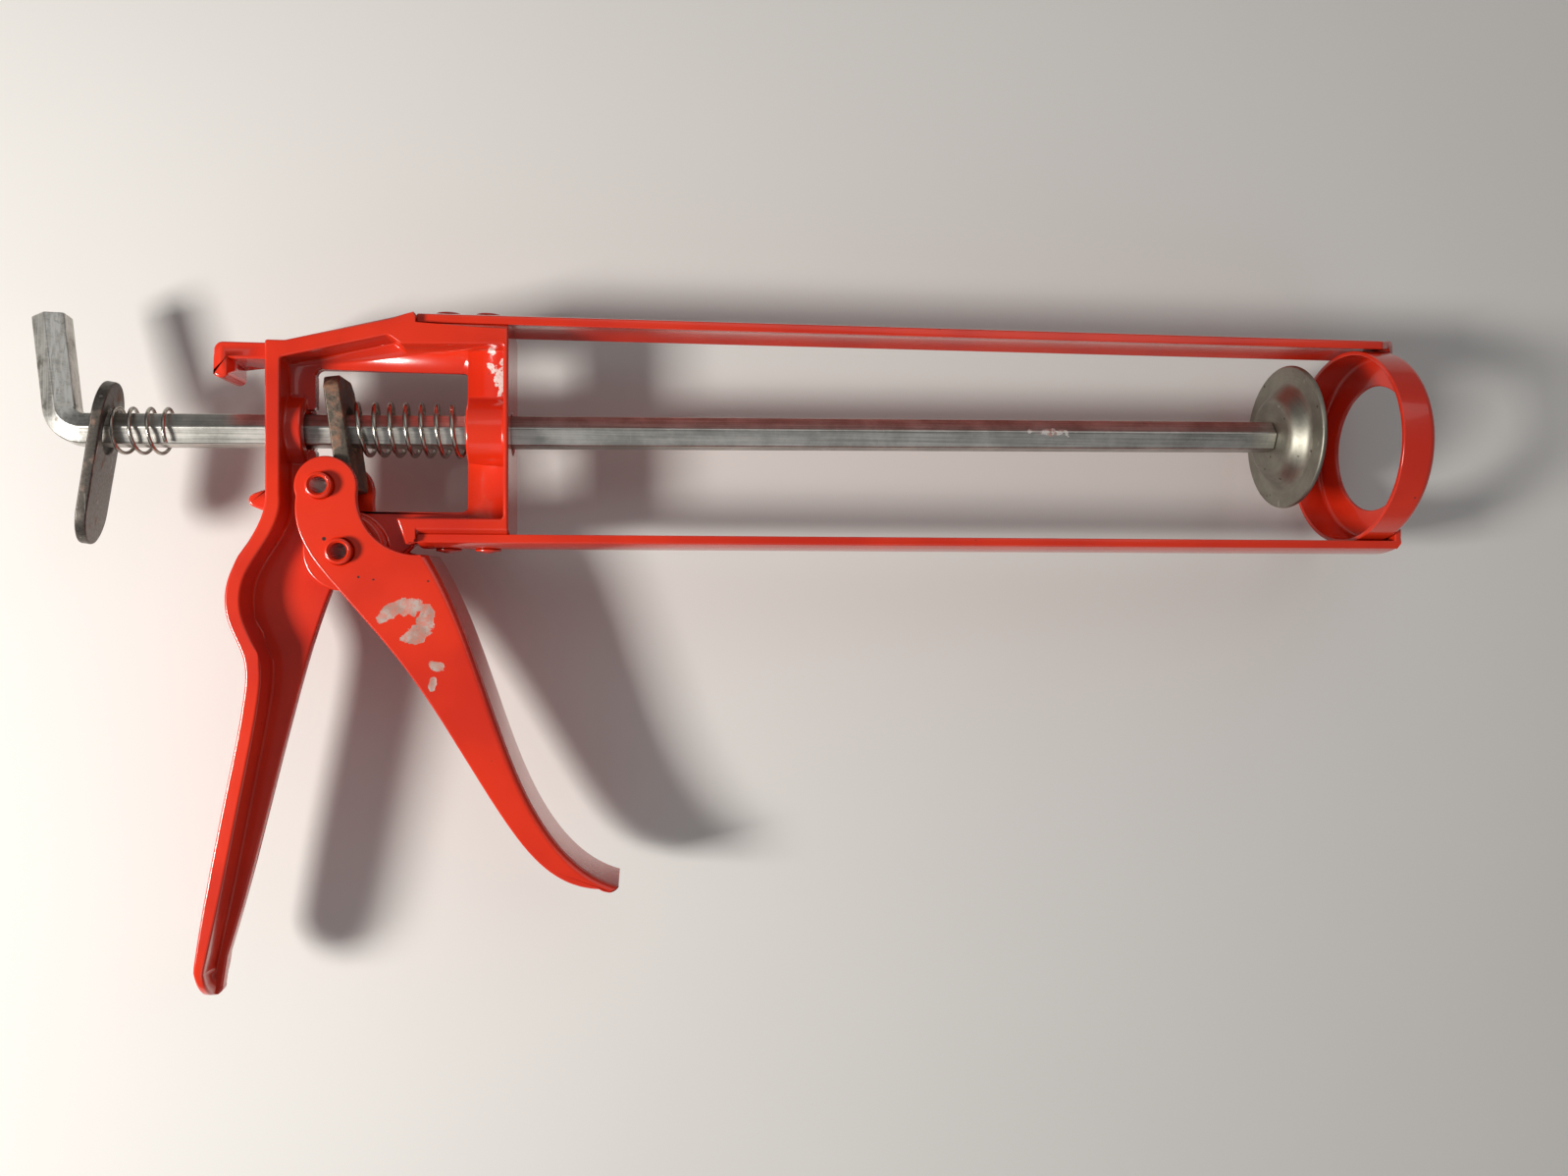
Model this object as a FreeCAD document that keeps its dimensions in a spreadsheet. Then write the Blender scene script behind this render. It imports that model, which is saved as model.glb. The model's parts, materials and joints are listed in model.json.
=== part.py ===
import FreeCAD, Part
import math
import os
import Sketcher
from FreeCAD import Placement, Rotation, Vector

# Skeleton caulking gun for 310 ml cartridges, millimetres.
# Working axes: +X along the gun towards the nose, +Y away from the handle, +Z across the gun.
# Working origin: on the cradle's axis, in the plane of the frame's front face.
# Each sub-part's Placement then moves it to the row origin, the middle of the footprint
# on which the gun lies on its side.

DIMENSIONS = {
    # row origin, in working coordinates
    "origin_x": 59.3, "origin_y": -54.49, "origin_z": -26.4,
    # cradle: rails and nose cup
    "cradle_radius": 27.2, "rail_thickness": 2.1, "rail_half_width": 9.0, "rail_start": -23.7,
    "nose_radius": 26.4, "nose_length": 9.6, "nose_front": 233.3, "nose_wall": 1.2,
    "nose_hole_radius": 17.1,
    "nose_corner": 2.4, "lip_thickness": 1.8, "lip_depth": 3.0, "lip_bend": 1.9,
    "corner_clip": 6.0,
    # cast frame
    "frame_width": 22.0, "web_thickness": 3.6, "post_thickness": 6.8, "flange": 3.6,
    "front_face": -1.5, "front_plate": 1.3, "front_post": 12.2, "rear_post": 58.6,
    "rear_boss_length": 7.6, "rear_boss_radius": 8.5, "front_boss_radius": 8.9, "rod_bore_radius": 5.3,
    "window_left": 49.3, "window_top": 15.0, "window_bottom": 20.0, "window_corner": 1.8,
    "hook_width": 14.0, "lug_width": 14.0,
    # trigger and its two tubular rivets
    "pivot_x": -41.3, "pivot_y": -30.2, "pusher_x": -45.9, "pusher_y": -14.4,
    "pivot_boss_radius": 9.7, "pivot_boss_width": 15.0, "washer_thickness": 0.8,
    "washer_radius": 6.2, "rivet_radius": 3.15, "rivet_bore": 2.0, "rivet_length": 25.6,
    "trigger_width": 21.0, "trigger_sheet": 2.0, "trigger_hole_radius": 3.23, "trigger_bend": 1.8,
    # hexagonal plunger rod and pressure plate
    "hex_flats": 7.7, "rod_tilt": 0.65, "rod_tilt_x": -30.0, "rod_roll": -7.0,
    "bend_x": -108.2, "bend_angle": 98.4, "bend_radius": 6.0, "handle_length": 28.6,
    "spigot_radius": 3.0, "spigot_length": 5.2, "shoulder_x": 202.0,
    "plate_radius": 19.4, "plate_sheet": 1.3, "plate_crown": 4.0, "plate_rim": 5.0,
    "plate_hole_radius": 3.08, "end_washer_radius": 6.5, "end_washer_thickness": 1.2,
    "clip_radius": 5.0, "clip_thickness": 0.9, "clip_groove": 2.3,
    # gripping (drive) plate and its spring
    "drive_x": -42.62, "drive_tilt": 8.0, "drive_thickness": 3.9, "drive_width": 16.0,
    "drive_top": 13.0, "drive_bottom": 15.4, "grip_hole_radius": 5.45,
    "drive_spring_radius": 6.4, "drive_spring_lift": 0.6, "drive_wire": 1.2, "drive_turns": 6.6,
    "drive_spring_start": -40.0,
    # release (thumb) plate and its spring
    "release_x": -99.0, "release_tilt": 9.0, "release_turn": 8.0, "release_thickness": 2.5,
    "release_width": 18.0, "release_top": 12.0, "release_bottom": 28.0, "release_hole_radius": 5.8,
    "release_spring_radius": 5.45, "release_wire": 0.9, "release_turns": 3.3,
    "release_spring_start": -96.3, "release_spring_length": 14.4, "release_spring_lift": 0.0,
    # rail rivets
    "rail_rivet_front": -7.6, "rail_rivet_rear": -17.3, "head_radius": 3.2, "head_height": 1.0,
    "shank_radius": 1.9, "shank_length": 5.5,
}

doc = FreeCAD.newDocument("caulking_gun")
sheet = doc.addObject("Spreadsheet::Sheet", "dims")
for row, (alias, value) in enumerate(DIMENSIONS.items(), start=1):
    sheet.set(f"A{row}", alias)
    sheet.set(f"B{row}", str(value))
    sheet.setAlias(f"B{row}", alias)
doc.recompute()


def dim(alias):
    """Value of a driving dimension, read back from the spreadsheet."""
    return float(sheet.get(alias))


def bind(target, prop, expression):
    target.setExpression(prop, expression)


to_row = Placement(Vector(-dim("origin_x"), -dim("origin_y"), -dim("origin_z")), Rotation())
rod_point = Vector(dim("rod_tilt_x"), 0, 0)
rod_lean = Placement(rod_point, Rotation(Vector(0, 0, 1), dim("rod_tilt")), Vector(0, 0, 0))
# The rod lies slightly askew in its two guide holes, as far as their slack lets it.
rod_to_row = to_row * rod_lean * Placement(-rod_point, Rotation())
rolled_to_row = rod_to_row * Placement(Vector(), Rotation(Vector(1, 0, 0), dim("rod_roll")))

sub_parts = []


def finish(part, label, placement=to_row):
    """Name a finished sub-part and put it in the row frame."""
    part.Label = label
    part.Placement = placement
    sub_parts.append(part)
    return part


def new_body(name):
    return doc.addObject("PartDesign::Body", name + "_body")


def plane_of(body, role):
    for feature in body.Origin.OriginFeatures:
        if feature.Role == role:
            return feature
    raise ValueError(role)


def new_sketch(body, name, role="XY_Plane", offset=Vector()):
    sketch = body.newObject("Sketcher::SketchObject", name)
    sketch.AttachmentSupport = (plane_of(body, role), "")
    sketch.MapMode = "FlatFace"
    sketch.AttachmentOffset = Placement(offset, Rotation())
    return sketch


def point(pair):
    return Vector(pair[0], pair[1], 0)


def draw(sketch, start, *steps):
    """Draw a closed outline: a step is a point, ("arc", middle, end) or ("curve", points...)."""
    here = point(start)
    for step in steps:
        if step[0] == "arc":
            end = point(step[2])
            sketch.addGeometry(Part.Arc(here, point(step[1]), end), False)
        elif step[0] == "curve":
            curve = Part.BSplineCurve()
            curve.interpolate([here] + [point(pair) for pair in step[1:]])
            sketch.addGeometry(curve, False)
            end = point(step[-1])
        else:
            end = point(step)
            sketch.addGeometry(Part.LineSegment(here, end), False)
        here = end
    if (here - point(start)).Length > 1e-6:
        sketch.addGeometry(Part.LineSegment(here, point(start)), False)
    return sketch


def draw_circle(sketch, centre, alias):
    """Add a circle whose radius is bound to a spreadsheet cell."""
    index = sketch.addGeometry(Part.Circle(point(centre), Vector(0, 0, 1), dim(alias)), False)
    number = sketch.addConstraint(Sketcher.Constraint("Radius", index, dim(alias)))
    sketch.setExpression(f"Constraints[{number}]", f"dims.{alias}")
    return sketch


def pad(body, sketch, length, symmetric=False, reverse=False):
    feature = body.newObject("PartDesign::Pad", sketch.Name + "_pad")
    feature.Profile = sketch
    bind(feature, "Length", length)
    feature.SideType = "Symmetric" if symmetric else "One side"
    feature.Reversed = reverse
    return settle(body, feature)


def pocket(body, sketch, length, symmetric=False, reverse=False):
    """Cut a pocket, and stop if it removes nothing."""
    before = body.Shape.Volume
    feature = body.newObject("PartDesign::Pocket", sketch.Name + "_pocket")
    feature.Profile = sketch
    bind(feature, "Length", length)
    feature.SideType = "Symmetric" if symmetric else "One side"
    feature.Reversed = reverse
    settle(body, feature)
    if not body.Shape.Volume < before - 0.01:
        raise RuntimeError(f"{feature.Name} removed nothing")
    return feature


def settle(body, feature):
    body.Tip = feature
    doc.recompute()
    return feature


def revolve(body, sketch):
    feature = body.newObject("PartDesign::Revolution", sketch.Name + "_turn")
    feature.Profile = sketch
    feature.ReferenceAxis = (sketch, ["H_Axis"])
    feature.Angle = 360
    return settle(body, feature)


def round_edges(body, radius_alias, wanted):
    """Fillet the edges of the body for which wanted(edge) is true."""
    base = body.Tip
    names = [f"Edge{number}" for number, edge in enumerate(base.Shape.Edges, 1) if wanted(edge)]
    feature = body.newObject("PartDesign::Fillet", body.Name + "_round")
    feature.Base = (base, names)
    bind(feature, "Radius", f"dims.{radius_alias}")
    return settle(body, feature)


def shifted(points, distance):
    """Points moved sideways, to the left of the direction of travel, by a distance."""
    moved = []
    for index, (x, y) in enumerate(points):
        before = points[max(index - 1, 0)]
        after = points[min(index + 1, len(points) - 1)]
        along = Vector(after[0] - before[0], after[1] - before[1], 0).normalize()
        moved.append((x - along.y * distance, y + along.x * distance))
    return moved


# ---------------------------------------------------------------- cast frame
# Back of the handle from its toe up to the rear post: the palm swell, the web-of-hand
# horn and the straight post above it.
HANDLE_BACK = [(-75.2, -131.0), (-71.7, -109.0), (-67.3, -86.0), (-63.6, -65.5), (-63.5, -56.5),
               (-67.3, -46.5), (-67.0, -36.5), (-60.8, -25.0), (-58.6, -15.5)]
HANDLE_FRONT = [(-45.4, -38.9), (-49.7, -51.5), (-53.5, -65.0), (-61.2, -96.0), (-70.2, -130.0)]
HANDLE_TOE = [(-71.3, -137.2), (-73.0, -139.3), (-74.8, -137.4)]
SEAT = dim("cradle_radius")


def make_frame():
    body = new_body("frame")
    rear, face = -dim("rear_post"), dim("front_face")
    outline = new_sketch(body, "frame_outline")
    draw(outline, (-71.5, 12.4), (-71.5, 18.4), ("arc", (-70.9, 19.8), (-69.5, 20.4)), (-54.0, 20.4),
         (-28.9, 26.6), (-24.0, 27.9), (-24.0, SEAT), (face, SEAT), (face, -SEAT), (-24.0, -SEAT),
         (-24.0, -27.9), (-25.0, -27.9), (-34.1, -37.0), ("arc", (-40.0, -39.9), HANDLE_FRONT[0]),
         ("curve", *HANDLE_FRONT[1:]), HANDLE_TOE[0], ("arc", *HANDLE_TOE[1:]), HANDLE_BACK[0],
         ("curve", *HANDLE_BACK[1:]), (rear, 16.3), (-68.3, 16.3), (-68.3, 12.4),
         ("arc", (-69.9, 11.6), (-71.5, 12.4)))
    pad(body, outline, "dims.frame_width", symmetric=True)

    # both faces are hollowed down to the central web, leaving the flange round the edge
    flange, half_width = dim("flange"), dim("frame_width") / 2
    toe_end = HANDLE_TOE[1][1]
    inner_back = shifted(HANDLE_BACK, -flange)
    inner_back[0] = (inner_back[0][0] - 1.2, inner_back[0][1])
    for side, name in ((1, "upper_hollow"), (-1, "lower_hollow")):
        hollow = new_sketch(body, name, offset=Vector(0, 0, side * dim("web_thickness") / 2))
        inner_front = face - dim("front_plate")
        draw(hollow, inner_back[0], ("curve", *inner_back[1:]), (rear + flange, 16.2),
             (-30.2, 22.1), (-27.2, 20.0), (inner_front, 20.6), (inner_front, -22.0), (-28.2, -22.0),
             (-25.4, -30.0), (-25.4, toe_end - 1.0), (-72.7, toe_end - 1.0))
        pocket(body, hollow, "dims.frame_width / 2", reverse=side > 0)

    # seen from behind, the toe is a half circle
    toe = new_sketch(body, "toe_round", "YZ_Plane")
    toe_start, outside = toe_end + half_width, half_width + 1
    draw(toe, (toe_start, outside), (toe_end - 1, outside), (toe_end - 1, -outside),
         (toe_start, -outside), (toe_start, -half_width),
         ("arc", (toe_end, 0), (toe_start, half_width)))
    pocket(body, toe, "4 * dims.rear_post", symmetric=True)

    # the hook is narrower than the frame
    for side, name in ((1, "hook_upper_trim"), (-1, "hook_lower_trim")):
        trim = new_sketch(body, name, offset=Vector(0, 0, side * dim("hook_width") / 2))
        draw(trim, (-75, 8), (-75, 25), (rear, 25), (rear, 8))
        pocket(body, trim, "dims.frame_width / 2", reverse=side > 0)

    # thicker front post, pivot boss and the small lug behind the rear post
    post = new_sketch(body, "front_post")
    draw(post, (-dim("front_post"), 20.6), (face - 0.5, 20.6), (face - 0.5, -22.0),
         (-dim("front_post"), -22.0))
    pad(body, post, "dims.post_thickness", symmetric=True)
    boss = new_sketch(body, "pivot_boss")
    draw_circle(boss, (dim("pivot_x"), dim("pivot_y")), "pivot_boss_radius")
    pad(body, boss, "dims.pivot_boss_width", symmetric=True)
    lug = new_sketch(body, "stop_lug")
    draw(lug, (-57.5, -14.6), (-62.4, -16.2), ("arc", (-63.6, -17.8), (-62.6, -19.4)), (-57.5, -21.5))
    pad(body, lug, "dims.lug_width", symmetric=True)

    # window for the gripping plate, its spring and the trigger's pusher
    left, top, low = -dim("window_left"), dim("window_top"), -dim("window_bottom")
    right, corner = -dim("front_post"), dim("window_corner")
    window = new_sketch(body, "window")
    draw(window, (left, low + corner), (left, top - corner),
         ("arc", (left + 0.29 * corner, top - 0.29 * corner), (left + corner, top)),
         (right - corner, top), ("arc", (right - 0.29 * corner, top - 0.29 * corner),
                                 (right, top - corner)),
         (right, low + corner), ("arc", (right - 0.29 * corner, low + 0.29 * corner),
                                 (right - corner, low)),
         (left + corner, low), ("arc", (left + 0.29 * corner, low + 0.29 * corner),
                                (left, low + corner)))
    pocket(body, window, "dims.frame_width", symmetric=True)

    # rod guides: the sketch plane YZ has X and Y of the sketch along Y and Z
    rear_guide = new_sketch(body, "rear_guide", "YZ_Plane", Vector(0, 0, rear))
    draw_circle(rear_guide, (0, 0), "rear_boss_radius")
    pad(body, rear_guide, "dims.rear_boss_length")
    front_guide = new_sketch(body, "front_guide", "YZ_Plane", Vector(0, 0, -dim("front_post")))
    draw_circle(front_guide, (0, 0), "front_boss_radius")
    pad(body, front_guide, "dims.front_post + dims.front_face")
    bore = new_sketch(body, "rod_bore", "YZ_Plane", Vector(0, 0, 5))
    draw_circle(bore, (0, 0), "rod_bore_radius")
    pocket(body, bore, "dims.rear_post + 10")

    # curved seats for the two rails
    seat = new_sketch(body, "rail_seats", "YZ_Plane", Vector(0, 0, 0))
    draw_circle(seat, (0, 0), "cradle_radius")
    draw(seat, (-40, -40), (40, -40), (40, 40), (-40, 40))
    pocket(body, seat, "-dims.rail_start")

    pivot = new_sketch(body, "pivot_bore")
    draw_circle(pivot, (dim("pivot_x"), dim("pivot_y")), "rivet_radius")
    pocket(body, pivot, "dims.frame_width", symmetric=True)
    for side, name in ((1, "top_rivet_holes"), (-1, "low_rivet_holes")):
        holes = new_sketch(body, name, "XZ_Plane", Vector(0, 0, -side * SEAT))
        for alias in ("rail_rivet_front", "rail_rivet_rear"):
            draw_circle(holes, (dim(alias), 0), "shank_radius")
        pocket(body, holes, "dims.shank_length", reverse=side > 0)
    return finish(body, "frame_body")


# ---------------------------------------------------------------- cradle
def make_rail(label, side):
    """A strip curved round the cradle's axis, with a lip turned in over the nose cup.

    The top rail's front corners are clipped.
    """
    body = new_body(label)
    inner, outer = SEAT, SEAT + dim("rail_thickness")
    half = dim("rail_half_width")

    def at(radius, z_side):
        return (side * math.sqrt(radius ** 2 - half ** 2), z_side * half)

    strip = new_sketch(body, label + "_strip", "YZ_Plane", Vector(0, 0, dim("rail_start")))
    draw(strip, at(inner, -1), ("arc", (side * inner, 0), at(inner, 1)), at(outer, 1),
         ("arc", (side * outer, 0), at(outer, -1)))
    pad(body, strip, "dims.nose_front - dims.rail_start + dims.lip_thickness")
    lip = new_sketch(body, label + "_lip", "YZ_Plane", Vector(0, 0, dim("nose_front")))
    low = SEAT - dim("lip_depth")
    draw(lip, at(low, -1), ("arc", (side * low, 0), at(low, 1)), at(inner + 0.5, 1),
         ("arc", (side * (inner + 0.5), 0), at(inner + 0.5, -1)))
    pad(body, lip, "dims.lip_thickness")
    end = dim("nose_front") + dim("lip_thickness")

    def outer_bend(edge):
        middle = edge.valueAt((edge.FirstParameter + edge.LastParameter) / 2)
        return abs(middle.x - end) < 0.01 and abs(side * middle.y - outer) < 0.01

    round_edges(body, "lip_bend", outer_bend)
    holes = new_sketch(body, label + "_holes", "XZ_Plane")
    for alias in ("rail_rivet_front", "rail_rivet_rear"):
        draw_circle(holes, (dim(alias), 0), "shank_radius")
    pocket(body, holes, "4 * dims.cradle_radius", symmetric=True)
    if side > 0:
        for z_side, name in ((1, "near_corner"), (-1, "far_corner")):
            clip = new_sketch(body, label + "_" + name, "XZ_Plane")
            draw(clip, (end - dim("corner_clip"), z_side * (half + 0.1)),
                 (end + 0.1, z_side * (half + 0.1)), (end + 0.1, z_side * (half - 4.5)))
            pocket(body, clip, "4 * dims.cradle_radius", symmetric=True)
    return finish(body, label)


def make_nose_cup():
    body = new_body("nose_cup")
    front, wall, corner = dim("nose_front"), dim("nose_wall"), dim("nose_corner")
    rear = front - dim("nose_length")
    hole, outer = dim("nose_hole_radius"), dim("nose_radius")
    turn = 1 - math.sqrt(0.5)
    bend = corner - wall
    profile = new_sketch(body, "nose_profile")
    draw(profile, (rear, outer - wall), (rear, outer), (front - corner, outer),
         ("arc", (front - turn * corner, outer - turn * corner), (front, outer - corner)),
         (front, hole), (front - wall, hole), (front - wall, outer - wall - bend),
         ("arc", (front - wall - turn * bend, outer - wall - turn * bend),
          (front - wall - bend, outer - wall)))
    revolve(body, profile)
    return finish(body, "nose_cup")


def make_rail_rivet(label, side, alias):
    """Domed rivet standing on a rail's outer face, its shank in the frame."""
    body = new_body(label)
    outer = SEAT + dim("rail_thickness")
    foot = outer + 0.02
    height, radius = dim("head_height"), dim("head_radius")
    shank = dim("shank_radius") - 0.02
    profile = new_sketch(body, label + "_profile")
    # sketched along X (the rivet's axis) and turned, then stood up by the placement
    tip = foot + height
    draw(profile, (SEAT - dim("shank_length") + 0.2, 0), (SEAT - dim("shank_length") + 0.2, shank),
         (foot, shank), (foot, radius), (foot + 0.5, radius),
         ("arc", (tip - 0.3, 0.66 * radius), (tip, 0.28 * radius)), (tip, 0))
    revolve(body, profile)
    stand = Placement(Vector(dim(alias), 0, 0), Rotation(Vector(0, 0, 1), side * 90))
    return finish(body, label, to_row * stand)


# ---------------------------------------------------------------- trigger
TRIGGER_BACK = [(-51.7, -17.0), (-51.0, -25.5), (-42.0, -39.3), (-27.4, -56.9), (-14.0, -77.3),
                (-2.3, -96.4), (11.3, -111.0), (20.6, -113.8)]
TRIGGER_FRONT = [(-21.0, -31.0), (-10.4, -54.2), (-2.0, -78.4), (6.6, -97.0), (18.2, -109.9),
                 (25.5, -113.4)]


def make_trigger():
    """Pressed channel: two side plates joined by a curved front, open towards the handle."""
    body = new_body("trigger")
    outline = new_sketch(body, "trigger_outline")
    draw(outline, TRIGGER_BACK[0], ("curve", *TRIGGER_BACK[1:]), ("arc", (23.7, -114.5), TRIGGER_FRONT[-1]),
         ("curve", *reversed(TRIGGER_FRONT[:-1])), (-23.4, -30.9),
         ("arc", (-33.6, -26.6), (-37.4, -15.2)), ("arc", (-45.2, -7.2), TRIGGER_BACK[0]))
    pad(body, outline, "dims.trigger_width", symmetric=True)

    def side_edge(edge):
        middle = edge.valueAt((edge.FirstParameter + edge.LastParameter) / 2)
        on_side = abs(abs(middle.z) - dim("trigger_width") / 2) < 0.01
        return on_side and edge.Length > 60 and middle.x > -10

    round_edges(body, "trigger_bend", side_edge)
    inside = new_sketch(body, "trigger_channel")
    sheet_line = shifted(TRIGGER_FRONT, -dim("trigger_sheet"))
    draw(inside, sheet_line[0], ("curve", *sheet_line[1:-1]), (-3.0, -125.0), (-60.0, -60.0),
         (-60.0, 5.0), (-22.9, 5.0))
    pocket(body, inside, "dims.trigger_width - 2 * dims.trigger_sheet", symmetric=True)
    holes = new_sketch(body, "trigger_holes")
    draw_circle(holes, (dim("pivot_x"), dim("pivot_y")), "trigger_hole_radius")
    draw_circle(holes, (dim("pusher_x"), dim("pusher_y")), "rivet_radius")
    pocket(body, holes, "dims.trigger_width", symmetric=True)
    return finish(body, "trigger")


def make_tubular_rivet(label, x_alias, y_alias):
    body = new_body(label)
    profile = new_sketch(body, label + "_profile")
    half, outer, inner = dim("rivet_length") / 2, dim("rivet_radius"), dim("rivet_bore")
    soft = 0.4
    draw(profile, (-half, inner + soft), ("arc", (-half - 0.15, (inner + outer) / 2), (-half, outer - soft)),
         ("arc", (-half + 0.12, outer - 0.12), (-half + soft, outer)), (half - soft, outer),
         ("arc", (half - 0.12, outer - 0.12), (half, outer - soft)),
         ("arc", (half + 0.15, (inner + outer) / 2), (half, inner + soft)),
         (half - soft, inner), (-half + soft, inner))
    revolve(body, profile)
    across = Placement(Vector(dim(x_alias), dim(y_alias), 0), Rotation(Vector(0, 1, 0), 90))
    return finish(body, label, to_row * across)


def make_washer(label, side):
    """Spacer washer between the pivot boss and one of the trigger's side plates."""
    outer = doc.addObject("Part::Cylinder", label + "_disc")
    bind(outer, "Radius", "dims.washer_radius")
    bind(outer, "Height", "dims.washer_thickness")
    hole = doc.addObject("Part::Cylinder", label + "_hole")
    bind(hole, "Radius", "dims.rivet_radius")
    bind(hole, "Height", "dims.washer_thickness")
    washer = doc.addObject("Part::Cut", label + "_ring")
    washer.Base = outer
    washer.Tool = hole
    doc.recompute()
    half = dim("pivot_boss_width") / 2
    level = half if side > 0 else -half - dim("washer_thickness")
    place = Placement(Vector(dim("pivot_x"), dim("pivot_y"), level), Rotation())
    return finish(washer, label, to_row * place)


# ---------------------------------------------------------------- plunger rod
def make_rod():
    """Hexagonal bar bent into a pull handle, with a turned spigot for the pressure plate."""
    body = new_body("plunger_rod")
    bend = Vector(dim("bend_x"), 0, 0)
    radius = dim("bend_radius")
    lean = math.radians(dim("bend_angle"))
    up = Vector(math.cos(lean), math.sin(lean), 0)
    setback = radius * math.tan((math.pi - lean) / 2)
    start = bend + Vector(setback, 0, 0)
    end = bend + up * setback
    centre = start + Vector(0, radius, 0)
    middle = centre + (bend - centre).normalize() * radius
    tip = bend + up * dim("handle_length")
    shoulder = dim("shoulder_x")
    path = new_sketch(body, "rod_path")
    path.addGeometry(Part.LineSegment(Vector(shoulder, 0, 0), start), False)
    path.addGeometry(Part.Arc(start, middle, end), False)
    path.addGeometry(Part.LineSegment(end, tip), False)
    section = new_sketch(body, "rod_section", "YZ_Plane", Vector(0, 0, shoulder))
    corner = dim("hex_flats") / math.sqrt(3)
    corners = [(corner * math.sin(math.radians(60 * turn)), corner * math.cos(math.radians(60 * turn)))
               for turn in range(6)]
    draw(section, *corners)
    bar = body.newObject("PartDesign::AdditivePipe", "rod_bar")
    bar.Profile = section
    bar.Spine = (path, [])
    settle(body, bar)
    spigot = new_sketch(body, "rod_spigot", "YZ_Plane", Vector(0, 0, shoulder))
    draw_circle(spigot, (0, 0), "spigot_radius")
    pad(body, spigot, "dims.spigot_length")
    clip_at = shoulder + dim("plate_sheet") + dim("end_washer_thickness") + 0.3
    groove = new_sketch(body, "clip_groove", "XY_Plane")
    draw(groove, (clip_at, dim("clip_groove")), (clip_at, 4), (clip_at + 1.0, 4),
         (clip_at + 1.0, dim("clip_groove")))
    cut = body.newObject("PartDesign::Groove", "clip_groove_cut")
    cut.Profile = groove
    cut.ReferenceAxis = (groove, ["H_Axis"])
    cut.Angle = 360
    settle(body, cut)
    return finish(body, "plunger_rod", rolled_to_row)


def make_pressure_plate():
    """Dished steel disc: flat rim, shallow crown towards the rod."""
    body = new_body("pressure_plate")
    back = dim("shoulder_x") + 0.05
    sheet_t, crown = dim("plate_sheet"), dim("plate_crown")
    outer, hole = dim("plate_radius"), dim("plate_hole_radius")
    step = outer - dim("plate_rim")
    flat = 8.5
    profile = new_sketch(body, "pressure_profile")
    draw(profile, (back, hole), (back, flat), ("curve", (back + 0.22 * crown, flat + 2.6),
                                               (back + 0.86 * crown, step - 0.9),
                                               (back + crown, step + 0.6)),
         (back + crown, outer - 0.5), ("arc", (back + crown + 0.2, outer - 0.12),
                                       (back + crown + 0.65, outer)),
         ("arc", (back + crown + 1.1, outer - 0.12), (back + crown + sheet_t, outer - 0.5)),
         (back + crown + sheet_t, step + 0.2),
         ("curve", (back + 0.86 * crown + sheet_t, step - 1.6), (back + 0.22 * crown + sheet_t, flat + 2.0),
          (back + sheet_t, flat - 0.6)), (back + sheet_t, hole))
    revolve(body, profile)
    return finish(body, "pressure_plate", rod_to_row)


def make_ring(label, start, length, outer_alias, inner):
    """Flat ring on the rod's spigot."""
    body = new_body(label)
    section = new_sketch(body, label + "_section", "YZ_Plane", Vector(0, 0, start))
    draw_circle(section, (0, 0), outer_alias)
    section.addGeometry(Part.Circle(Vector(), Vector(0, 0, 1), inner), False)
    pad(body, section, length)
    return finish(body, label, rod_to_row)


# ---------------------------------------------------------------- plates and springs
def make_drive_plate():
    """Thick gripping plate that bites the rod when the trigger pushes its lower end."""
    body = new_body("drive_plate")
    half, top, low = dim("drive_width") / 2, dim("drive_top"), -dim("drive_bottom")
    corner = 2.5
    face = new_sketch(body, "drive_face", "YZ_Plane", Vector(0, 0, -dim("drive_thickness") / 2))
    draw(face, (top, -half + corner), (top, half - corner), (top - corner, half), (low + 1, half),
         (low, half - 1), (low, -half + 1), (low + 1, -half), (top - corner, -half))
    draw_circle(face, (0, 0), "grip_hole_radius")
    pad(body, face, "dims.drive_thickness")
    tilt = Placement(Vector(dim("drive_x"), 0, 0), Rotation(Vector(0, 0, 1), dim("drive_tilt")))
    return finish(body, "drive_plate", to_row * tilt)


def make_release_plate():
    """Thumb plate: a strip with two rounded ends, whose top goes under the hook."""
    body = new_body("release_plate")
    top, low, half = dim("release_top"), -dim("release_bottom"), dim("release_width") / 2
    face = new_sketch(body, "release_face", "YZ_Plane", Vector(0, 0, -dim("release_thickness") / 2))
    draw(face, (top - half + 0.5, -half), ("arc", (top, 0), (top - half + 0.5, half)),
         (low + half - 1, half - 0.6), ("arc", (low, 0), (low + half - 1, 0.6 - half)))
    draw_circle(face, (0, 0), "release_hole_radius")
    pad(body, face, "dims.release_thickness")
    x = dim("release_x")
    y = (x - dim("rod_tilt_x")) * math.tan(math.radians(dim("rod_tilt")))
    tilt = Placement(Vector(x, y, 0), Rotation(Vector(0, 0, 1), -dim("release_tilt")))
    turn = Placement(Vector(), Rotation(Vector(0, 1, 0), dim("release_turn")))
    return finish(body, "release_plate", to_row * tilt * turn)


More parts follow.
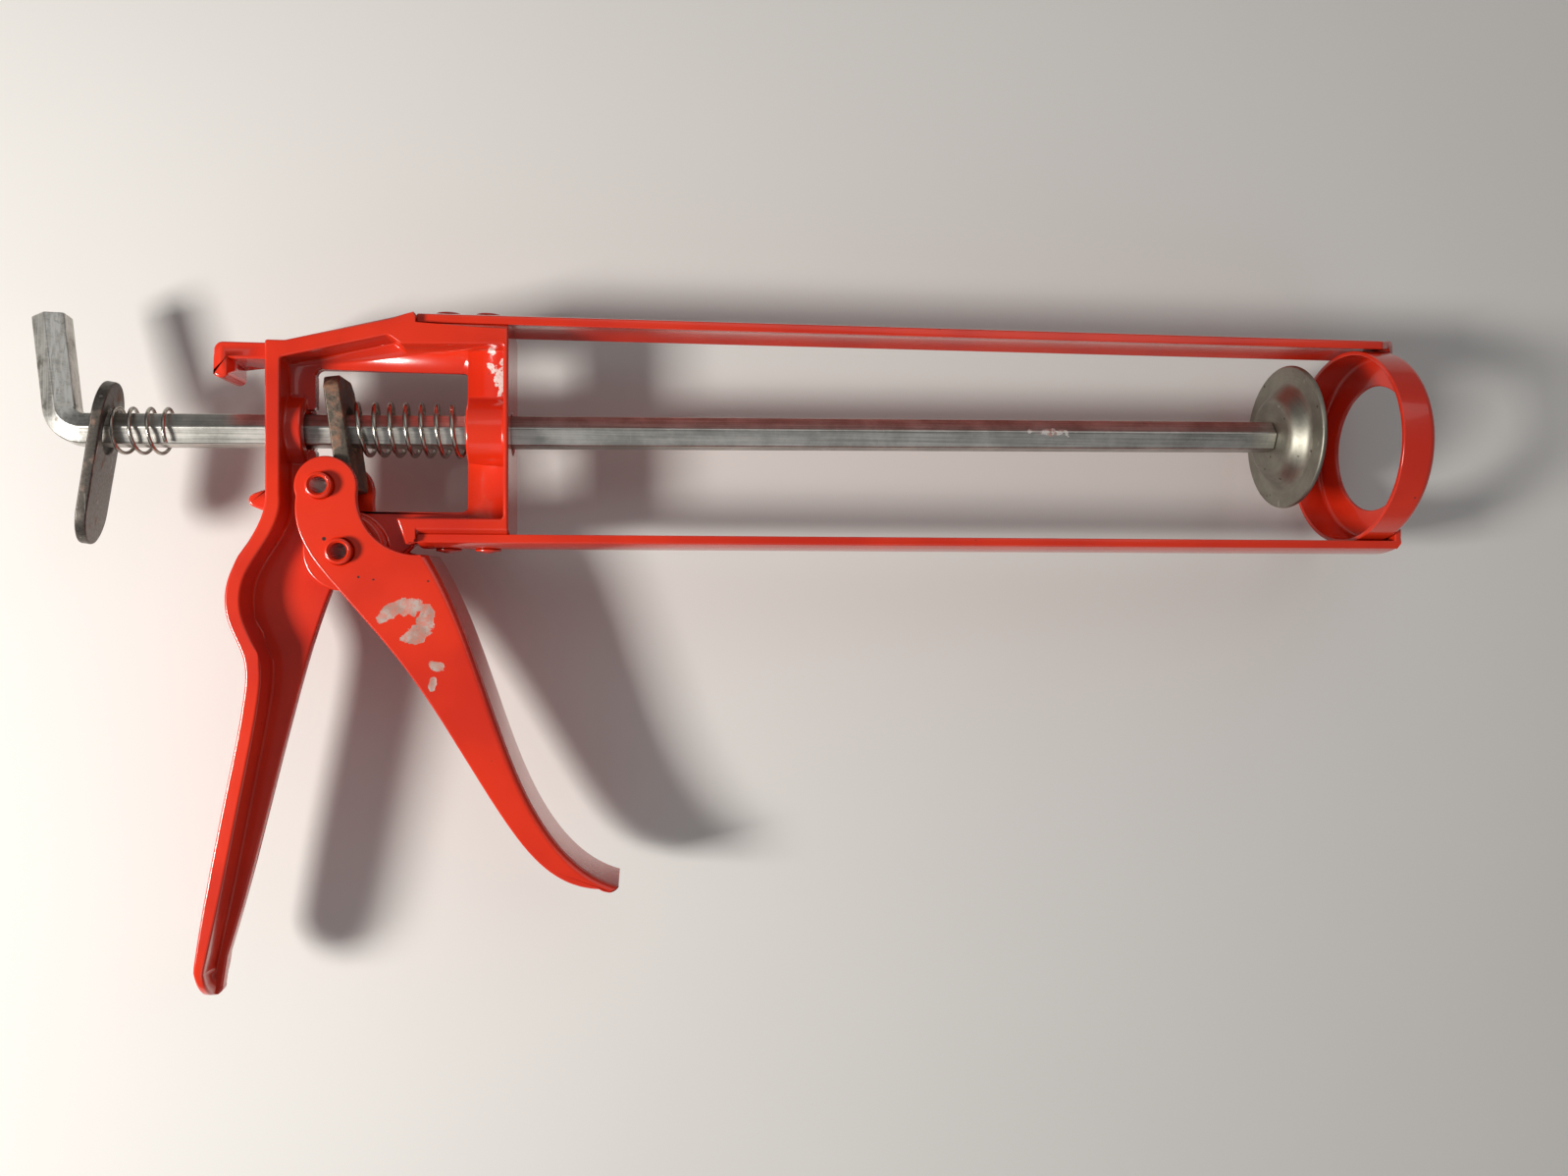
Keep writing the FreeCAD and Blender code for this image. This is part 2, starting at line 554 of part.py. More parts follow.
def make_spring(label, start, length, prefix):
    """Open compression spring wound round the rod."""
    helix = doc.addObject("Part::Helix", label + "_helix")
    bind(helix, "Radius", f"dims.{prefix}_spring_radius")
    bind(helix, "Pitch", f"{length - dim(prefix + '_wire')} / dims.{prefix}_turns")
    bind(helix, "Height", f"{length - dim(prefix + '_wire')} mm")
    helix.SegmentLength = 1
    doc.recompute()
    wire = doc.addObject("Part::Circle", label + "_wire")
    bind(wire, "Radius", f"dims.{prefix}_wire / 2")
    wire.Placement = Placement(Vector(dim(prefix + "_spring_radius"), 0, 0),
                               Rotation(Vector(1, 0, 0), 90))
    spring = doc.addObject("Part::Sweep", label + "_coil")
    spring.Sections = [wire]
    spring.Spine = (helix, [f"Edge{number + 1}" for number in range(len(helix.Shape.Edges))])
    spring.Solid = True
    spring.Frenet = True
    doc.recompute()
    lead = start + dim(prefix + "_wire") / 2
    y = (start - dim("rod_tilt_x")) * math.tan(math.radians(dim("rod_tilt")))
    y += dim(prefix + "_spring_lift")
    along = Placement(Vector(lead, y, 0), Rotation(Vector(0, 1, 0), 90))
    return finish(spring, label, to_row * along)


make_frame()
make_rail("top_rail", 1)
make_rail("bottom_rail", -1)
make_nose_cup()
for rail, side in (("top", 1), ("bottom", -1)):
    for place in ("front", "rear"):
        make_rail_rivet(f"{rail}_{place}_rivet", side, f"rail_rivet_{place}")
make_trigger()
make_tubular_rivet("pivot_rivet", "pivot_x", "pivot_y")
make_tubular_rivet("pusher_rivet", "pusher_x", "pusher_y")
make_washer("pivot_washer_upper", 1)
make_washer("pivot_washer_lower", -1)
make_rod()
make_pressure_plate()
washer_start = dim("shoulder_x") + dim("plate_sheet") + 0.15
make_ring("plate_washer", washer_start, "dims.end_washer_thickness", "end_washer_radius", 3.05)
clip_start = dim("shoulder_x") + dim("plate_sheet") + dim("end_washer_thickness") + 0.35
make_ring("plate_clip", clip_start, "dims.clip_thickness", "clip_radius", dim("clip_groove"))
make_drive_plate()
make_spring("drive_spring", dim("drive_spring_start"),
            -dim("front_post") - dim("drive_spring_start"), "drive")
make_release_plate()
make_spring("release_spring", dim("release_spring_start"), dim("release_spring_length"), "release")
doc.recompute()

for item in doc.Objects:
    if {"Invalid", "Error"} & set(item.State):
        raise RuntimeError(f"{item.Name}: {item.State}")
for part in sub_parts:
    if part.Shape.isNull() or not part.Shape.isValid():
        raise RuntimeError(f"{part.Label}: shape is not valid")

os.makedirs("parts", exist_ok=True)
box = FreeCAD.BoundBox()
for part in sub_parts:
    part.Shape.exportStep(f"parts/{part.Label}.step")
    box.add(part.Shape.BoundBox)
    print(part.Label, len(part.Shape.Solids), round(part.Shape.Volume, 1))
limits = (box.XMin, box.XMax, box.YMin, box.YMax, box.ZMin, box.ZMax)
print("overall", [round(value, 2) for value in limits])
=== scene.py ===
"""Looks of the caulking gun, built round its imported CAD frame. Metres, in the row frame."""
import json
import math

import bmesh
import bpy
from mathutils import Matrix, Vector
from mathutils.bvhtree import BVHTree
from mathutils.geometry import intersect_point_line

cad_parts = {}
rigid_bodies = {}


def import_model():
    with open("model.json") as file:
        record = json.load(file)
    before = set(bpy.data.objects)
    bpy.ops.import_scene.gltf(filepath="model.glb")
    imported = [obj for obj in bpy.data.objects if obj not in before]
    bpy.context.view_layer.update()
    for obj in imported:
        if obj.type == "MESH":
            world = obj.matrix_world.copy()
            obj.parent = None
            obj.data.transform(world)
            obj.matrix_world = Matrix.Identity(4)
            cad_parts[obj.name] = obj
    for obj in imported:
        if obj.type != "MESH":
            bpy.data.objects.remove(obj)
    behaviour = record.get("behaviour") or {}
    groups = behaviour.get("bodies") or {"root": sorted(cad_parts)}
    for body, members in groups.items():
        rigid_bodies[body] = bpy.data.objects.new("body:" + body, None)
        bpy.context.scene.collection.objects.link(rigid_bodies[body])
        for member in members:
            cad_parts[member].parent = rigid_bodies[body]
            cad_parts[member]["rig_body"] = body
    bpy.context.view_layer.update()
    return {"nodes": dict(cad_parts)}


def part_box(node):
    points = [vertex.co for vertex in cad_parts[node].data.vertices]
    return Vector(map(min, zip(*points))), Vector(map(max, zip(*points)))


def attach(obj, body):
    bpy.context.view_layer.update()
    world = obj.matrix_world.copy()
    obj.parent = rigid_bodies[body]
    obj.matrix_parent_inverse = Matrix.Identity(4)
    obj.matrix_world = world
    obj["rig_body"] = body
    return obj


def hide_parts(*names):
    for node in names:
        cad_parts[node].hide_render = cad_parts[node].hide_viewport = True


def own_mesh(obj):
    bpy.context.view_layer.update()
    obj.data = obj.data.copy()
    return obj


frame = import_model()
nodes = frame["nodes"]
MM = 0.001
ROUNDING_TRIES = 12

# The cradle's axis and the front of the nose cup, read from the frame, place everything else.
cup_low, cup_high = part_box("nose_cup")
NOSE_FRONT = 233.3
origin = Vector((cup_high.x - NOSE_FRONT * MM, (cup_low.y + cup_high.y) / 2, (cup_low.z + cup_high.z) / 2))
ROD_LEAN = math.radians(0.65)
ROD_PIVOT = -30.0


def at(x, y, z=0.0):
    """Row-frame point for millimetres along, up and out from the cradle's axis at the frame's front."""
    return origin + Vector((x, y, z)) * MM


# ------------------------------------------------------------------ shader building
class Shader:
    """A Principled material and short calls for the nodes in front of it."""

    def __init__(self, name, **sockets):
        self.material = bpy.data.materials.new(name)
        self.material.use_nodes = True
        self.nodes = self.material.node_tree.nodes
        self.links = self.material.node_tree.links
        self.bsdf = self.nodes["Principled BSDF"]
        for key, value in sockets.items():
            self.bsdf.inputs[key.replace("_", " ")].default_value = value
        self.place = self.nodes.new("ShaderNodeTexCoord").outputs["Object"]

    def feed(self, socket, value):
        if isinstance(value, bpy.types.NodeSocket):
            self.links.new(value, socket)
        else:
            socket.default_value = value

    def maths(self, operation, a, b=0.0, clamp=False):
        node = self.nodes.new("ShaderNodeMath")
        node.operation = operation
        node.use_clamp = clamp
        self.feed(node.inputs[0], a)
        self.feed(node.inputs[1], b)
        return node.outputs[0]

    def vector(self, operation, a, b=(0, 0, 0)):
        node = self.nodes.new("ShaderNodeVectorMath")
        node.operation = operation
        self.feed(node.inputs[0], a)
        if operation != "LENGTH":
            self.feed(node.inputs[1], b)
        return node.outputs["Value" if operation == "LENGTH" else "Vector"]

    def noise(self, size, stretch=(1, 1, 1), detail=3.0, rough=0.55, seed=0.0, place=None):
        """Noise whose features are about size millimetres, longer where stretch is larger."""
        scaled = self.vector("MULTIPLY", self.place if place is None else place,
                             tuple(1 / (size * MM * s) for s in stretch))
        moved = self.vector("ADD", scaled, (seed, 1.7 * seed, 0.6 * seed))
        node = self.nodes.new("ShaderNodeTexNoise")
        node.inputs["Scale"].default_value = 1.0
        node.inputs["Detail"].default_value = detail
        node.inputs["Roughness"].default_value = rough
        self.links.new(moved, node.inputs["Vector"])
        return node.outputs["Fac"]

    def cells(self, size, seed=0.0):
        """Distance to the nearest of points scattered about size millimetres apart, in units of size."""
        scaled = self.vector("MULTIPLY", self.place, (1 / (size * MM),) * 3)
        node = self.nodes.new("ShaderNodeTexVoronoi")
        node.inputs["Scale"].default_value = 1.0
        self.links.new(self.vector("ADD", scaled, (seed, seed, seed)), node.inputs["Vector"])
        return node.outputs["Distance"]

    def step(self, value, low, high):
        """0 below low, 1 above high, smooth between; low may be above high to turn it round."""
        node = self.nodes.new("ShaderNodeMapRange")
        node.interpolation_type = "SMOOTHSTEP"
        flip = low > high
        self.feed(node.inputs["Value"], value)
        node.inputs["From Min"].default_value = high if flip else low
        node.inputs["From Max"].default_value = low if flip else high
        node.inputs["To Min"].default_value = 1.0 if flip else 0.0
        node.inputs["To Max"].default_value = 0.0 if flip else 1.0
        return node.outputs["Result"]

    def spread(self, value, low, high):
        """A 0 to 1 value spread over low to high."""
        return self.maths("ADD", self.maths("MULTIPLY", value, high - low), low)

    def mix(self, share, a, b):
        node = self.nodes.new("ShaderNodeMix")
        node.data_type = "RGBA"
        self.feed(node.inputs["Factor"], share)
        sockets = [s for s in node.inputs if s.type == "RGBA"]
        for socket, value in zip(sockets, (a, b)):
            self.feed(socket, (*value, 1.0) if isinstance(value, tuple) and len(value) == 3 else value)
        return next(s for s in node.outputs if s.type == "RGBA")

    def either(self, a, b):
        return self.maths("MAXIMUM", a, b)

    def edge(self):
        """1 on the rounded edges of a softened piece, 0 on its faces."""
        node = self.nodes.new("ShaderNodeAttribute")
        node.attribute_name = "edge"
        return node.outputs["Fac"]

    def blotch(self, centre, radii, ragged=0.9, size=2.4, seed=0.0, turn=0.0):
        """A ragged patch round a point: 1 inside, 0 outside."""
        away = self.vector("SUBTRACT", self.place, tuple(centre))
        if turn:
            node = self.nodes.new("ShaderNodeVectorRotate")
            node.rotation_type = "Z_AXIS"
            self.links.new(away, node.inputs["Vector"])
            node.inputs["Angle"].default_value = turn
            away = node.outputs["Vector"]
        far = self.vector("LENGTH", self.vector("MULTIPLY", away, tuple(1 / (r * MM) for r in radii)))
        uneven = self.maths("SUBTRACT", self.noise(size, seed=seed, detail=4), 0.5)
        rough = self.maths("MULTIPLY", uneven, 2 * ragged)
        return self.step(self.maths("ADD", far, rough), 1.06, 0.92)

    def bump(self, height, strength, depth, normal=None):
        node = self.nodes.new("ShaderNodeBump")
        node.inputs["Strength"].default_value = strength
        node.inputs["Distance"].default_value = depth * MM
        self.links.new(height, node.inputs["Height"])
        if normal is not None:
            self.links.new(normal, node.inputs["Normal"])
        return node.outputs["Normal"]

    def finish(self, colour=None, roughness=None, metallic=None, normal=None):
        for key, value in (("Base Color", colour), ("Roughness", roughness), ("Metallic", metallic),
                           ("Normal", normal)):
            if value is not None:
                self.links.new(value, self.bsdf.inputs[key])
        return self.material


VERMILION = (0.68, 0.030, 0.007)
DEEP_RED = (0.56, 0.021, 0.006)
PRIMER = (0.36, 0.20, 0.16)
CHALK = (0.44, 0.34, 0.30)
SCUFF = (0.66, 0.56, 0.52)
BARE_STEEL = (0.16, 0.13, 0.11)
DARK_SPECK = (0.035, 0.022, 0.018)
GRIME = (0.22, 0.03, 0.015)
THIN_PAINT = (0.62, 0.10, 0.05)
RUBBED_PAINT = (0.56, 0.36, 0.32)
PIT = (0.10, 0.085, 0.06)
SCRATCH = (0.80, 0.78, 0.72)


def paint(name, wear, marks=(), chips=(), specks=()):
    """Glossy sprayed enamel: uneven depth, orange peel, grime, worn edges, and local damage.

    marks are white scuffs, chips show primer and steel, specks are small dark pinholes.
    """
    s = Shader(name, IOR=1.5, Coat_Weight=0.5, Coat_Roughness=0.035)
    colour = s.mix(s.step(s.noise(26, detail=2, seed=3.1), 0.35, 0.7), VERMILION, DEEP_RED)
    grime = s.step(s.noise(5.5, detail=6, rough=0.7, seed=8.0), 0.60, 0.78)
    colour = s.mix(s.maths("MULTIPLY", grime, 0.16), colour, GRIME)
    dots = s.maths("MULTIPLY", s.step(s.cells(4.6, seed=5.0), 0.085, 0.05),
                   s.step(s.noise(9, seed=2.0), 0.55, 0.6))
    colour = s.mix(s.maths("MULTIPLY", dots, 0.8), colour, DARK_SPECK)
    rough = s.spread(s.noise(14, detail=4, seed=1.0), 0.12, 0.30)
    height = s.spread(s.noise(1.1, detail=1.5, seed=4.0), 0.0, 0.25)
    height = s.maths("ADD", height, s.spread(s.noise(7, detail=2, seed=6.0), 0.0, 1.6))
    worn = s.maths("MULTIPLY", s.edge(),
                   s.step(s.noise(2.6, detail=5, rough=0.7, seed=11.0), wear, wear - 0.035))
    worn = s.maths("MULTIPLY", worn, s.step(s.noise(17, detail=2, seed=13.0), 0.50, 0.42))
    bare = s.mix(s.step(s.noise(1.3, seed=17.0), 0.45, 0.58), PRIMER, BARE_STEEL)
    colour = s.mix(worn, colour, bare)
    lost = worn
    for number, (centre, radii, turn) in enumerate(chips):
        patch = s.blotch(at(*centre), radii, seed=20.0 + number, turn=turn)
        thin = s.step(s.noise(2.2, detail=6, rough=0.75, seed=31.0 + number), 0.40, 0.56)
        tone = s.mix(s.step(s.noise(4.2, detail=4, seed=37.0), 0.40, 0.62), PRIMER, CHALK)
        tone = s.mix(s.step(s.noise(1.0, detail=5, rough=0.8, seed=41.0), 0.60, 0.68), tone, DARK_SPECK)
        tone = s.mix(s.maths("MULTIPLY", s.maths("SUBTRACT", 1.0, thin), 0.55), tone, THIN_PAINT)
        colour = s.mix(patch, colour, tone)
        lost = s.either(lost, patch)
    for number, (centre, radii, turn) in enumerate(marks):
        patch = s.blotch(at(*centre), radii, ragged=1.5, size=1.5, seed=50.0 + number, turn=turn)
        scuffed = s.mix(s.step(s.noise(0.8, detail=5, seed=61.0), 0.5, 0.66), SCUFF, RUBBED_PAINT)
        colour = s.mix(patch, colour, scuffed)
        lost = s.either(lost, patch)
    for centre, radius in specks:
        far = s.vector("LENGTH", s.vector("SUBTRACT", s.place, tuple(at(*centre))))
        colour = s.mix(s.step(far, radius * MM, 0.7 * radius * MM), colour, DARK_SPECK)
    rough = s.maths("ADD", rough, s.maths("MULTIPLY", lost, 0.35), clamp=True)
    height = s.maths("SUBTRACT", height, s.maths("MULTIPLY", lost, 1.2))
    return s.finish(colour, rough, None, s.bump(height, 0.5, 0.05))


def plated(name, light, dark, along, roughness=(0.26, 0.48), pits=0.0, spun=False):
    """Zinc-plated steel: drawn streaks along an axis, dull clouds, scratches and a few pits."""
    s = Shader(name, Metallic=1.0, IOR=2.0)
    streak = s.noise(0.55, stretch=along, detail=4, rough=0.6, seed=2.0)
    cloud = s.noise(9, detail=5, rough=0.65, seed=5.0)
    if spun:
        away = s.vector("MULTIPLY", s.vector("SUBTRACT", s.place, tuple(origin)), (0, 1, 1))
        ring = s.nodes.new("ShaderNodeCombineXYZ")
        s.links.new(s.vector("LENGTH", away), ring.inputs["X"])
        streak = s.spread(s.noise(0.6, detail=3, rough=0.6, seed=7.0, place=ring.outputs[0]), 0.35, 0.65)
    tone = s.maths("ADD", s.maths("MULTIPLY", streak, 0.45), s.maths("MULTIPLY", cloud, 0.55))
    colour = s.mix(s.step(tone, 0.36, 0.64), dark, light)
    rough = s.spread(s.maths("ADD", s.maths("MULTIPLY", streak, 0.5), s.maths("MULTIPLY", cloud, 0.5)),
                     *roughness)
    scratch = s.step(s.noise(0.9, stretch=(0.35, 7, 3), detail=2, seed=9.0), 0.70, 0.76)
    spots = s.maths("MULTIPLY", s.step(s.cells(3.2, seed=3.0), 0.16, 0.07),
                    s.step(s.noise(11, seed=6.0), 0.47, 0.56))
    colour = s.mix(s.maths("MULTIPLY", spots, pits), colour, PIT)
    colour = s.mix(s.maths("MULTIPLY", scratch, 0.35), colour, SCRATCH)
    rough = s.maths("ADD", rough, s.maths("MULTIPLY", spots, 0.3 * pits), clamp=True)
    height = s.maths("SUBTRACT", s.maths("MULTIPLY", streak, 0.5), s.maths("MULTIPLY", spots, pits))
    return s, colour, rough, s.bump(height, 0.35, 0.03)


def rod_finish():
    """The rod's plating: streaks run along the bar, and across it on the bent handle."""
    s, colour, rough, normal = plated("zinc_rod", (0.60, 0.585, 0.545), (0.34, 0.33, 0.30), (70, 1, 1))
    split = s.nodes.new("ShaderNodeSeparateXYZ")
    s.links.new(s.place, split.inputs[0])
    handle = s.step(split.outputs["X"], at(-99, 0).x, at(-103, 0).x)
    down = s.noise(0.7, stretch=(1, 45, 1), detail=4, seed=14.0)
    colour = s.mix(s.maths("MULTIPLY", handle, s.step(down, 0.42, 0.62)), colour, (0.66, 0.65, 0.61))
    colour = s.mix(s.maths("MULTIPLY", handle, s.step(s.noise(3.5, detail=5, seed=15.0), 0.56, 0.7)), colour,
                   (0.25, 0.235, 0.20))
    # smears of red enamel and white sealant left where the nose end of the rod was handled
    smear = s.maths("MULTIPLY",
                    s.blotch(at(139, 2.4, 3.2), (5.5, 0.9, 2.0), ragged=1.6, size=2.0, seed=71.0), 0.7)
    colour = s.mix(smear, colour, s.mix(s.step(s.noise(1.6, seed=73.0), 0.45, 0.55), (0.72, 0.66, 0.62),
                                        (0.42, 0.20, 0.16)))
    metal = s.maths("SUBTRACT", 1.0, s.maths("MULTIPLY", smear, 0.8))
    return s.finish(colour, rough, metal, normal)


def rusty(name, steel, rust, cover):
    """Heat-blackened plate steel, rusting from its edges inwards."""
    s = Shader(name, IOR=1.8)
    clouds = s.noise(6.5, detail=7, rough=0.68, seed=4.0)
    near_edge = s.maths("MULTIPLY", s.edge(), 0.22)
    rusted = s.step(s.maths("ADD", clouds, near_edge), cover, cover + 0.16)
    grain = s.noise(0.7, detail=5, rough=0.7, seed=9.0)
    plate = s.mix(s.step(grain, 0.35, 0.7), steel, tuple(0.55 * c for c in steel))
    scale = s.mix(s.step(s.noise(1.7, detail=6, rough=0.75, seed=12.0), 0.38, 0.66), rust,
                  tuple(0.42 * c for c in rust))
    bright = s.step(s.noise(1.4, stretch=(1, 9, 1), detail=3, seed=15.0), 0.66, 0.74)
    plate = s.mix(s.maths("MULTIPLY", bright, 0.6), plate, (0.42, 0.40, 0.37))
    colour = s.mix(rusted, plate, scale)
    rough = s.spread(s.maths("ADD", s.maths("MULTIPLY", rusted, 0.7), s.maths("MULTIPLY", grain, 0.3)),
                     0.34, 0.86)
    metal = s.spread(rusted, 0.9, 0.15)
    height = s.maths("ADD", s.maths("MULTIPLY", grain, 0.4),
                     s.maths("MULTIPLY", s.maths("MULTIPLY", rusted, clouds), 1.2))
    return s.finish(colour, rough, metal, s.bump(height, 0.6, 0.09))


def spring_wire(name):
    """Drawn spring wire: mid-grey steel, finely mottled, with faint brown tarnish."""
    s = Shader(name, Metallic=1.0, IOR=2.2)
    tarnish = s.step(s.noise(3.4, detail=5, rough=0.7, seed=6.0), 0.52, 0.74)
    fine = s.noise(0.25, detail=2, seed=3.0)
    colour = s.mix(s.maths("MULTIPLY", tarnish, 0.7), s.mix(fine, (0.46, 0.44, 0.39), (0.32, 0.30, 0.26)),
                   (0.24, 0.18, 0.12))
    rough = s.spread(s.maths("ADD", s.maths("MULTIPLY", tarnish, 0.6), s.maths("MULTIPLY", fine, 0.4)),
                     0.18, 0.46)
    return s.finish(colour, rough, None, s.bump(fine, 0.15, 0.02))


# ------------------------------------------------------------------ pieces
def bevelled(base, wanted, width, segments, clamp):
    mesh = base.copy()
    mesh.edges.ensure_lookup_table()
    made = bmesh.ops.bevel(mesh, geom=[mesh.edges[index] for index in wanted], offset=width * MM,
                           offset_type="OFFSET", segments=segments, profile=0.5, affect="EDGES",
                           clamp_overlap=clamp, miter_outer="ARC", miter_inner="SHARP", loop_slide=True)
    return mesh, made["faces"]


def rounded_off(base, wanted, width, segments):
    """Round the wanted edges, leaving sharp those whose rounding would run off the surface."""
    surface = BVHTree.FromBMesh(base)
    ends = {index: [vert.co.copy() for vert in base.edges[index].verts] for index in wanted}
    reach = 0.9 * width * MM

    def near(index, spot):
        low, high = ends[index]
        share = min(max(intersect_point_line(spot, low, high)[1], 0.0), 1.0)
        return (low.lerp(high, share) - spot).length < 3 * reach

    for _ in range(ROUNDING_TRIES):
        mesh, faces = bevelled(base, wanted, width, segments, False)
        stray = {vert for vert in mesh.verts if surface.find_nearest(vert.co)[3] > reach}
        if not stray:
            return mesh, faces
        spots = [surface.find_nearest(other.co)[0] for vert in stray for edge in vert.link_edges
                 for other in edge.verts if other not in stray]
        mesh.free()
        dropped = {index for index in wanted if any(near(index, spot) for spot in spots)}
        if not dropped:
            break
        wanted = [index for index in wanted if index not in dropped]
    return bevelled(base, wanted, width, segments, True)


def softened(node, width, material, segments=2, angle=28.0):
    """Stand-in for a CAD node with the same shape and its sharp edges rounded, marked by "edge"."""
    source = nodes[node]
    base = bmesh.new()
    base.from_mesh(source.data)
    bmesh.ops.remove_doubles(base, verts=base.verts, dist=0.002 * MM)
    bmesh.ops.dissolve_limit(base, angle_limit=math.radians(0.6), verts=base.verts, edges=base.edges,
                             use_dissolve_boundaries=False)
    base.edges.index_update()
    base.edges.ensure_lookup_table()

    def has_room(edge):
        """False where a short edge turns off from this one, since two roundings would meet there."""
        for end in edge.verts:
            along = (edge.other_vert(end).co - end.co).normalized()
            for other in end.link_edges:
                if other is not edge and other.calc_length() < 1.6 * width * MM:
                    if abs(along.dot((other.other_vert(end).co - end.co).normalized())) < 0.85:
                        return False
        return True

    wanted = [edge.index for edge in base.edges if len(edge.link_faces) == 2
              and edge.calc_face_angle(0) > math.radians(angle) and has_room(edge)]
    mesh, rounded = rounded_off(base, wanted, width, segments)
    low, high = ([pick(vert.co[axis] for vert in base.verts) for axis in range(3)] for pick in (min, max))
    base.free()
    for vert in mesh.verts:
        vert.co = [min(max(value, low[axis]), high[axis]) for axis, value in enumerate(vert.co)]
    mesh.faces.ensure_lookup_table()
    layer = mesh.faces.layers.float.new("edge")
    for face in rounded:
        if face.is_valid:
            face[layer] = 1.0
    for face in mesh.faces:
        face.smooth = True
    data = bpy.data.meshes.new(node + "_rounded")
    mesh.to_mesh(data)
    mesh.free()
    piece = bpy.data.objects.new(node + "_rounded", data)
    bpy.context.scene.collection.objects.link(piece)
    data.materials.append(material)
    weigh = piece.modifiers.new("even_shading", "WEIGHTED_NORMAL")
    weigh.keep_sharp = True
    weigh.weight = 100
    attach(piece, source["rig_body"])
    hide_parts(node)
    return piece


def coil(name, node, body, start, length, lift, radius, wire, turns, lean):
    """Compression spring wound about the rod, its end turns closed up and cut square.

    Its first turn lies on a plate whose face leans by lean. It is attached whole to the body given by body.
    """
    steps, sides = int(turns * 44), 16
    closed = 0.35
    y = (start - ROD_PIVOT) * math.tan(ROD_LEAN) + lift
    centre = at(start, y)
    points = []
    total = turns - 2 * closed
    for step in range(steps + 1):
        wound = turns * step / steps
        # the pitch eases in and out over the closed part of each end
        share = min(max((wound - closed) / total, 0.0), 1.0)
        ease = 0.06 * (min(wound, closed) + max(wound - turns + closed, 0.0)) / closed
        along = wire / 2 + (length - wire) * (0.88 * share + ease)
        turn = 2 * math.pi * wound
        along -= lean * radius * math.sin(turn) * max(1.0 - wound, 0.0)
        points.append(centre + Vector((along, radius * math.sin(turn), -radius * math.cos(turn))) * MM)
    mesh = bmesh.new()
    rings = []
    for index, point in enumerate(points):
        ahead = points[min(index + 1, steps)] - points[max(index - 1, 0)]
        outward = (point - centre)
        outward.x = 0
        outward.normalize()
        side = ahead.normalized().cross(outward).normalized()
        ring = [mesh.verts.new(point + (outward * math.cos(a) + side * math.sin(a)) * wire / 2 * MM)
                for a in (2 * math.pi * k / sides for k in range(sides))]
        rings.append(ring)
    for before, after in zip(rings, rings[1:]):
        for k in range(sides):
            mesh.faces.new((before[k], before[(k + 1) % sides], after[(k + 1) % sides], after[k])).smooth = True
    mesh.faces.new(reversed(rings[0]))
    mesh.faces.new(rings[-1])
    bmesh.ops.recalc_face_normals(mesh, faces=mesh.faces)
    data = bpy.data.meshes.new(name)
    mesh.to_mesh(data)
    mesh.free()
    piece = bpy.data.objects.new(name, data)
    bpy.context.scene.collection.objects.link(piece)
    data.materials.append(spring_steel)
    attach(piece, body)
    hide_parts(node)
    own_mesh(piece)
    return piece


red = paint("red_paint", 0.31,
            marks=[((-4.0, 13.0, 3.4), (1.9, 3.3, 2.4), -0.3), ((-6.5, 16.0, 3.4), (0.7, 1.3, 2.0), -0.4),
                   ((-3.4, 18.0, 3.4), (0.6, 1.6, 2.0), 0.5), ((-6.5, 20.0, 3.4), (0.9, 0.9, 2.0), 0.0)])
trigger_red = paint("red_trigger", 0.35,
                    chips=[((-29.8, -44.8, 10.3), (3.6, 1.7, 3.0), -0.6),
                           ((-25.0, -43.6, 10.3), (4.0, 2.0, 3.0), 0.0),
                           ((-21.3, -46.8, 10.3), (1.9, 3.6, 3.0), 0.0),
                           ((-23.4, -50.4, 10.3), (3.3, 2.2, 3.0), -0.5),
                           ((-18.7, -58.0, 10.3), (1.8, 1.2, 3.0), 0.3),
                           ((-19.6, -62.4, 10.3), (0.9, 1.7, 3.0), 0.2)],
                    specks=[((-45.0, -27.2, 10.5), 0.55), ((-37.0, -36.4, 10.5), 0.35),
                            ((-33.5, -37.0, 10.5), 0.3), ((-33.0, -52.0, 10.5), 0.35)])
rivet_red = paint("red_rivet", 0.42)
rod_zinc = rod_finish()
s, colour, rough, normal = plated("zinc_plate", (0.37, 0.36, 0.30), (0.24, 0.235, 0.20), (1, 1, 1),
                                  (0.40, 0.56), pits=0.85, spun=True)
plate_zinc = s.finish(colour, rough, None, normal)
s, colour, rough, normal = plated("zinc_rivet", (0.62, 0.60, 0.55), (0.40, 0.38, 0.34), (1, 1, 1), (0.25, 0.45))
washer_zinc = s.finish(colour, rough, None, normal)
drive_rust = rusty("rusty_drive", (0.15, 0.125, 0.10), (0.27, 0.115, 0.055), 0.45)
release_rust = rusty("rusty_release", (0.13, 0.115, 0.10), (0.26, 0.12, 0.06), 0.53)
spring_steel = spring_wire("spring_steel")

